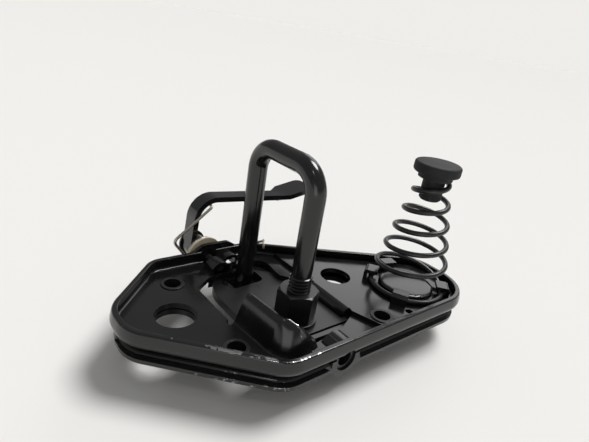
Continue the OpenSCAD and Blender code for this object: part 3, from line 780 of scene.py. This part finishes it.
@dataclass
class StrikerLoop(SubAssembly):
    """The bent rod with its threaded leg, nuts and washers."""

    leg_x: float = 16.25
    top_z: float = 60.95
    plain_end: float = -4.0
    rod_r: float = 3.55
    rod_resolution: int = 14
    bend_r: float = 9.0
    bend_steps: int = 24
    # The thread, with flats at its roots and crests, and how far the rod goes into it
    thread_r: float = 4.0
    thread_depth: float = 0.62
    thread_pitch: float = 1.25
    root_flat: float = 0.12
    crest_flat: float = 0.13
    thread_top: float = 24.2
    thread_end: float = -8.1
    rod_sunk: float = 0.4
    spin_steps: int = 32
    # Points of neighbouring turns closer than this are joined, in metres
    seam_join: float = 4e-6
    # Wear, edge rounding, and the angles for smooth and for rounded edges in degrees
    rod_wear: float = 0.25
    rod_smooth: float = 50.0
    nut_wear: float = 0.8
    nut_edge: float = 0.25
    nut_sharp: float = 15.0
    washer_wear: float = 0.5

    def rod_mesh(self) -> bpy.types.Mesh:
        """The plain rod from its hidden end round to the thread's start."""
        corners = [
            at(-self.leg_x, 0, self.plain_end), at(-self.leg_x, 0, self.top_z),
            at(self.leg_x, 0, self.top_z), at(self.leg_x, 0, self.thread_top - self.rod_sunk),
        ]
        path = rounded_path(corners, self.bend_r * MM, self.bend_steps)
        return tube_mesh(path, self.rod_r * MM, self.rod_resolution)

    def add_thread(self, bm: bmesh.types.BMesh) -> None:
        """Screws a V profile up the adjusting leg.

        Args:
            bm: the mesh that gets the thread.
        """
        low = self.thread_end - self.thread_pitch
        turns = math.ceil((self.thread_top - low) / self.thread_pitch)
        root = self.thread_r - self.thread_depth
        crest = (self.thread_pitch - self.crest_flat) / 2
        profile = (
            (root, 0.0),
            (root, self.root_flat),
            (self.thread_r, crest),
            (self.thread_r, crest + self.crest_flat),
            (root, self.thread_pitch - self.root_flat),
            (root, self.thread_pitch),
        )
        verts = [bm.verts.new(at(self.leg_x + r, 0, low + z)) for r, z in profile]
        edges = [bm.edges.new(pair) for pair in zip(verts, verts[1:])]
        rise = self.thread_pitch * MM / self.spin_steps
        bmesh.ops.spin(
            bm, geom=verts + edges, cent=at(self.leg_x, 0, 0), axis=(0, 0, 1), angle=2 * math.pi * turns,
            dvec=(0, 0, rise), steps=self.spin_steps * turns, use_merge=False,
        )
        bmesh.ops.remove_doubles(bm, verts=bm.verts, dist=self.seam_join)
        for height, upward in ((self.thread_end, -1), (self.thread_top, 1)):
            rim = cut_through(bm, at(0, 0, height), (0, 0, upward), clear_outer=True)
            bmesh.ops.holes_fill(bm, edges=rim, sides=0)
        bmesh.ops.recalc_face_normals(bm, faces=bm.faces)

    def build(self) -> None:
        """Makes the loop, its nuts and its washers."""
        bm = bmesh.new()
        self.add_thread(bm)
        bm.from_mesh(self.rod_mesh())
        mark_wear(bm, self.rod_wear)
        rod = self.dress(finished(bm, "striker_rod", self.rod_smooth), Slot.PAINT, "striker_loop")
        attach(rod, ROOT)
        for node in ("lock_nut", "lower_nut"):
            self.rounded(node, Slot.STEEL, ROOT, self.nut_edge, self.nut_wear, self.nut_sharp)
        for node in ("lock_washer", "lower_washer"):
            self.rounded(node, Slot.STEEL, ROOT, self.nut_edge, self.washer_wear)


@dataclass
class PopUpSpring(SubAssembly):
    """The conical spring and the soft cap on its top."""

    wire_r: float = 1.0
    wire_resolution: int = 5
    foot_r: float = 14.6
    crown_r: float = 5.7
    height: float = 46.5
    turns: float = 5.0
    # The closed coil at the foot, where it starts in degrees, and the quick climb out of it
    foot_turns: float = 0.728
    foot_start: float = 150.0
    kick: float = 4.8
    kick_turns: float = 0.18
    # Points per turn, wear, and the angle in degrees up to which edges are smooth
    steps: int = 56
    wire_wear: float = 0.2
    wire_smooth: float = 60.0
    # How far the cap is pressed down, its edge rounding and its wear
    travel: float = 28.0
    cap_edge: float = 0.5
    cap_wear: float = 0.0

    def point(self, turned: float) -> Vector:
        """A point of the wire's centre line.

        Args:
            turned: turns from the wire's lower end.

        Returns:
            The point in the row frame.
        """
        risen = max(0.0, turned - self.foot_turns)
        radius = self.foot_r + (self.crown_r - self.foot_r) * risen / self.turns
        climb = self.kick * (1 - math.exp(-risen / self.kick_turns))
        climb += (self.height - 2 * self.wire_r - self.kick) * risen / self.turns
        angle = math.radians(self.foot_start + 360 * turned)
        x, y = SPRING_AT
        height = SPRING_SEAT + self.wire_r + climb
        return at(x + radius * math.cos(angle), y + radius * math.sin(angle), height)

    def build(self) -> None:
        """Makes the spring and the cap."""
        total = self.turns + self.foot_turns
        count = round(total * self.steps)
        path = [self.point(total * step / count) for step in range(count + 1)]
        bm = bmesh.new()
        bm.from_mesh(tube_mesh(path, self.wire_r * MM, self.wire_resolution))
        mark_wear(bm, self.wire_wear)
        spring = self.dress(finished(bm, "spring_wire", self.wire_smooth), Slot.STEEL, "pop_spring")
        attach(spring, ROOT)
        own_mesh(spring)
        self.rounded("spring_cap", Slot.RUBBER, CAP, self.cap_edge, self.cap_wear)


@dataclass
class SafetyLever(SubAssembly):
    """The sprung lever, its pin, bush and washer, and the thin torsion spring."""

    # Edge rounding, wear, and the angle in degrees up to which the wire's edges are smooth
    edge: float = 0.45
    small_edge: float = 0.25
    wear: float = 0.6
    bush_wear: float = 0.0
    wire_wear: float = 0.0
    wire_smooth: float = 75.0
    # Where the spring's free leg leaves the plates' motion and has the lever's
    leg_held: Point = (-35.0, -13.3, 15.9)
    leg_free: Point = (-35.0, -16.1, 20.0)

    def build(self) -> None:
        """Makes every piece of the lever."""
        self.rounded("safety_lever", Slot.PAINT, LEVER, self.edge, self.wear)
        for node in ("lever_pin", "lever_washer"):
            self.rounded(node, Slot.STEEL, ROOT, self.small_edge, self.wear)
        self.rounded("lever_bush", Slot.NYLON, ROOT, self.small_edge, self.bush_wear)
        bm = merged_copy("lever_spring")
        mark_wear(bm, self.wire_wear)
        spring = self.dress(finished(bm, "lever_wire", self.wire_smooth), Slot.WIRE, "lever_spring")
        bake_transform(spring)


# The studio


class LightKind(Enum):
    """A soft square lamp, or a light so far off that it is even over the table."""

    LAMP = "AREA"
    FAR = "SUN"


@dataclass(frozen=True)
class Light:
    """One light.

    Args:
        name: the light's name.
        kind: the kind of light.
        place: where a lamp stands or which side a far light comes from, in millimetres.
        size: a lamp's side in metres, or a far light's angular size in radians.
        power: a lamp's watts, or what a far light gives a facing surface in watts per square metre.
    """

    name: str
    kind: LightKind
    place: Point
    size: float
    power: float

    def build(self, aim: Vector) -> None:
        """Adds the light to the scene.

        Args:
            aim: what it points at.
        """
        data = bpy.data.lights.new(self.name, self.kind.value)
        data.energy = self.power
        if self.kind is LightKind.LAMP:
            data.shape = "SQUARE"
            data.size = self.size
        else:
            data.angle = self.size
        place = at(*self.place)
        turned = (aim - place).to_track_quat("-Z", "Y").to_matrix().to_4x4()
        linked(self.name, data).matrix_world = Matrix.Translation(place) @ turned


LIGHTS = (
    Light("window", LightKind.FAR, (-930, 1500, 980), 0.55, 0.34),
    Light("key", LightKind.FAR, (50, 1450, 2625), 0.45, 2.65),
    Light("ceiling", LightKind.LAMP, (880, -880, 2170), 0.2, 2.0),
    Light("front", LightKind.LAMP, (1900, -1700, 320), 1.4, 8.0),
)


@dataclass
class Studio:
    """A pale table, soft light and the photograph's camera."""

    # The camera, its axes, and its lens and sensor in millimetres
    camera_at: Point = (118.8, -99.6, 102.5)
    right: Point = (0.6129, 0.7751, 0.1525)
    up: Point = (-0.3908, 0.1299, 0.9112)
    forward: Point = (-0.6864, 0.618, -0.3827)
    lens: float = 29.03
    sensor: float = 36.0
    clip_start: float = 0.001
    # The table's height and what the lights point at
    floor_z: float = -8.6
    aim: Point = (5, 10, 10)
    # The table and the backdrop, in metres, and the even surround
    table_half: float = 20.0
    table_color: Color = (0.8, 0.79, 0.77)
    table_rough: float = 1.0
    table_specular: float = 0.0
    backdrop_r: float = 19.0
    backdrop_h: float = 2.6
    backdrop_sides: int = 64
    backdrop_color: Color = (0.86, 0.85, 0.825)
    backdrop_rough: float = 0.9
    surround_color: Color = (0.8, 0.8, 0.8)
    surround_strength: float = 0.34

    def camera(self) -> None:
        """Places the camera."""
        data = bpy.data.cameras.new("view")
        data.lens = self.lens
        data.sensor_width = self.sensor
        data.clip_start = self.clip_start
        obj = linked("view", data)
        basis = Matrix((self.right, self.up, [-part for part in self.forward])).transposed()
        obj.matrix_world = Matrix.Translation(at(*self.camera_at)) @ basis.to_4x4()
        bpy.context.scene.camera = obj

    def pale_nodes(self, obj: bpy.types.Object, roughness: float) -> NodeBuilder:
        """Gives an object a material in the table's colour.

        Args:
            obj: the table or the backdrop.
            roughness: the material's roughness.

        Returns:
            The material's nodes.
        """
        material = bpy.data.materials.new(obj.name)
        material.use_nodes = True
        obj.data.materials.append(material)
        shader = material.node_tree.nodes["Principled BSDF"].inputs
        shader["Base Color"].default_value = (*self.table_color, 1.0)
        shader["Roughness"].default_value = roughness
        return NodeBuilder(material.node_tree)

    def table(self) -> None:
        """A wide pale table."""
        bm = bmesh.new()
        bmesh.ops.create_grid(bm, x_segments=2, y_segments=2, size=self.table_half)
        bmesh.ops.translate(bm, verts=bm.verts, vec=at(0, 0, self.floor_z))
        obj = finished(bm, "table")
        shader = self.pale_nodes(obj, self.table_rough).tree.nodes["Principled BSDF"]
        shader.inputs["Specular IOR Level"].default_value = self.table_specular

    def backdrop(self) -> None:
        """A low pale wall far round the object, which meets the table out at the horizon."""
        bm = bmesh.new()
        bmesh.ops.create_cone(
            bm, cap_ends=False, segments=self.backdrop_sides, radius1=self.backdrop_r,
            radius2=self.backdrop_r, depth=self.backdrop_h,
        )
        raised = Vector((0, 0, self.backdrop_h / 2))
        bmesh.ops.translate(bm, verts=bm.verts, vec=at(0, 0, self.floor_z) + raised)
        obj = finished(bm, "backdrop")
        nodes = self.pale_nodes(obj, self.backdrop_rough)
        pale = nodes.node("Emission")
        pale.inputs["Color"].default_value = (*self.backdrop_color, 1.0)
        pale.inputs["Strength"].default_value = 1.0
        ray = nodes.node("LightPath").outputs
        seen = nodes.combine(
            "MAXIMUM", ray["Is Camera Ray"], ray["Is Glossy Ray"], ray["Is Transmission Ray"]
        )
        lit = nodes.tree.nodes["Principled BSDF"].outputs["BSDF"]
        wall = nodes.shader_mix(seen, lit, pale.outputs["Emission"])
        # The wall throws no shadow, so the far lights reach the whole table.
        clear = nodes.node("BsdfTransparent").outputs["BSDF"]
        unshaded = nodes.shader_mix(ray["Is Shadow Ray"], wall, clear)
        nodes.link(unshaded, nodes.tree.nodes["Material Output"].inputs["Surface"])

    def surround(self) -> None:
        """A pale even surround."""
        world = bpy.data.worlds.new("surround")
        world.use_nodes = True
        back = world.node_tree.nodes["Background"]
        back.inputs["Color"].default_value = (*self.surround_color, 1.0)
        back.inputs["Strength"].default_value = self.surround_strength
        bpy.context.scene.world = world

    def build(self) -> None:
        """Sets the whole studio up."""
        self.camera()
        self.table()
        self.backdrop()
        self.surround()
        for light in LIGHTS:
            light.build(at(*self.aim))
        bpy.context.scene.view_settings.view_transform = "Standard"


def main() -> None:
    """Builds the studio and every sub-assembly."""
    logging.basicConfig(level=logging.INFO)
    Studio().build()
    palette = Palette()
    for part in (PlateStack(palette), StrikerLoop(palette), PopUpSpring(palette), SafetyLever(palette)):
        part.build()


if __name__ == "__main__":
    main()
